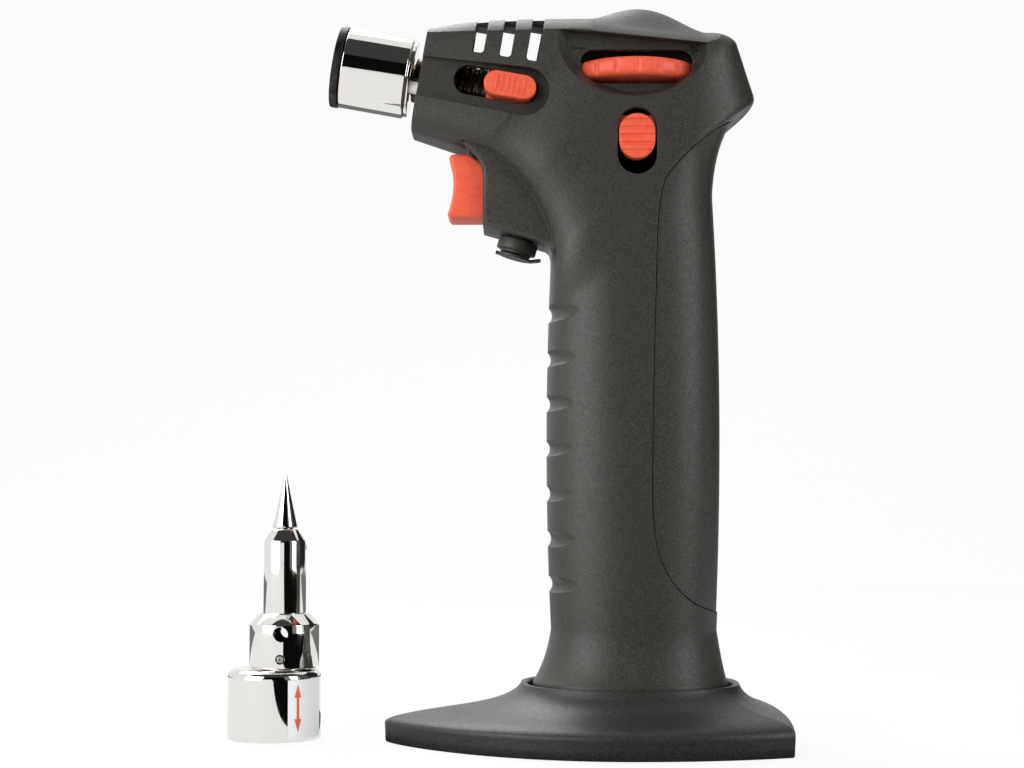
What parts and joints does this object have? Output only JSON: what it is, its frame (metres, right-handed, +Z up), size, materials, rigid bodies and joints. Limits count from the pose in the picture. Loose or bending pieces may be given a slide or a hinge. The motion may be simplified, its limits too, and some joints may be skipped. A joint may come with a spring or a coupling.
{
  "type": "butane micro torch",
  "caption": "Pistol-grip butane torch with a chrome burner tube, slide trigger, air and flow controls, standing in a weighted base beside a slip-on soldering tip.",
  "frame": {"origin": "on the table under the middle of the grip, at the underside of the stand's pad", "axes": "+Z up along the grip, -X towards the flame, -Y towards the side with the air slider and the lock button"},
  "size_m": [0.1274, 0.065, 0.1651],
  "materials": {
    "black_plastic": "fine-grained matt moulding",
    "orange_plastic": "satin",
    "stand_plastic": "fine-grained matt moulding",
    "chrome": "polished",
    "steel": "plain",
    "stained_steel": "heat-stained",
    "brass": "turned",
    "rubber": "matt",
    "ceramic": "glazed",
    "smoked_plastic": "smooth",
    "dark_metal": "blackened"
  },
  "bodies": {
    "stand": {"stand_shell": "stand_plastic", "ballast_plate": "steel", "stand_pad": "rubber", "ballast_screw_1": "steel", "ballast_screw_2": "steel", "ballast_screw_3": "steel"},
    "torch": {"left_housing": "black_plastic", "right_housing": "black_plastic", "tank_cover": "black_plastic", "housing_screw_1": "steel", "housing_screw_2": "steel", "housing_screw_3": "steel", "housing_screw_4": "steel", "mouth_ring": "stained_steel", "flame_tube": "chrome", "burner_nozzle": "brass", "flame_screen": "steel", "burner_collar": "dark_metal", "electrode_insulator": "ceramic", "electrode": "steel", "mixing_tube": "dark_metal", "gas_jet": "brass", "valve_body": "brass", "fuel_tank": "smoked_plastic", "tank_outlet": "brass", "gas_hose": "rubber", "filler_tube": "steel", "filler_bush": "black_plastic", "filler_valve": "brass", "piezo_igniter": "smoked_plastic", "lever_pin": "steel", "ignition_lead": "rubber"},
    "trigger": {"trigger": "orange_plastic", "piezo_plunger": "steel", "trigger_spring": "steel"},
    "gas_lever": {"gas_lever": "steel"},
    "air_slider": {"air_knob": "orange_plastic", "air_sleeve": "steel"},
    "flow_wheel": {"flow_wheel": "orange_plastic", "regulator_spindle": "brass"},
    "lock_button": {"lock_button": "orange_plastic"},
    "filler_cap": {"filler_cap": "black_plastic"},
    "attachment": {"tip_socket": "chrome", "tip_sleeve": "chrome", "set_screw": "steel", "tip_barrel": "chrome", "soldering_tip": "chrome"}
  },
  "joints": [
    {"name": "torch_lift", "type": "slide", "parent": "stand", "child": "torch", "axis": [0, 0, 1], "range_m": [0, 0.03]},
    {"name": "trigger_pull", "type": "slide", "parent": "torch", "child": "trigger", "axis": [1, 0, 0], "range_m": [0, 0.006], "stiffness_N_per_m": 900, "springref_m": -0.003, "deforming": ["trigger_spring"]},
    {"name": "gas_lever_turn", "type": "hinge", "parent": "torch", "child": "gas_lever", "pos_m": [-0.0162, 0.0064, 0.137], "axis": [0, -1, 0], "range_deg": [0, 43.5]},
    {"name": "air_slide", "type": "slide", "parent": "torch", "child": "air_slider", "axis": [-0.9848, 0, 0.1736], "range_m": [0, 0.0064]},
    {"name": "flow_wheel_turn", "type": "hinge", "parent": "torch", "child": "flow_wheel", "pos_m": [0.0007, 0, 0.1486], "axis": [0, 0, 1], "range_deg": [-135, 135]},
    {"name": "lock_slide", "type": "slide", "parent": "torch", "child": "lock_button", "axis": [0, 0, -1], "range_m": [0, 0.003]},
    {"name": "filler_cap_swing", "type": "hinge", "parent": "torch", "child": "filler_cap", "pos_m": [-0.0204, 0, 0.1077], "axis": [0, -1, 0], "range_deg": [0, 90]},
    {"name": "attachment_lift", "type": "slide", "parent": "stand", "child": "attachment", "axis": [0, 0, 1], "range_m": [0, 0.07]}
  ],
  "couplings": [
    {"joint": "gas_lever_turn", "follows": "trigger_pull", "rad_per_m": 125}
  ]
}
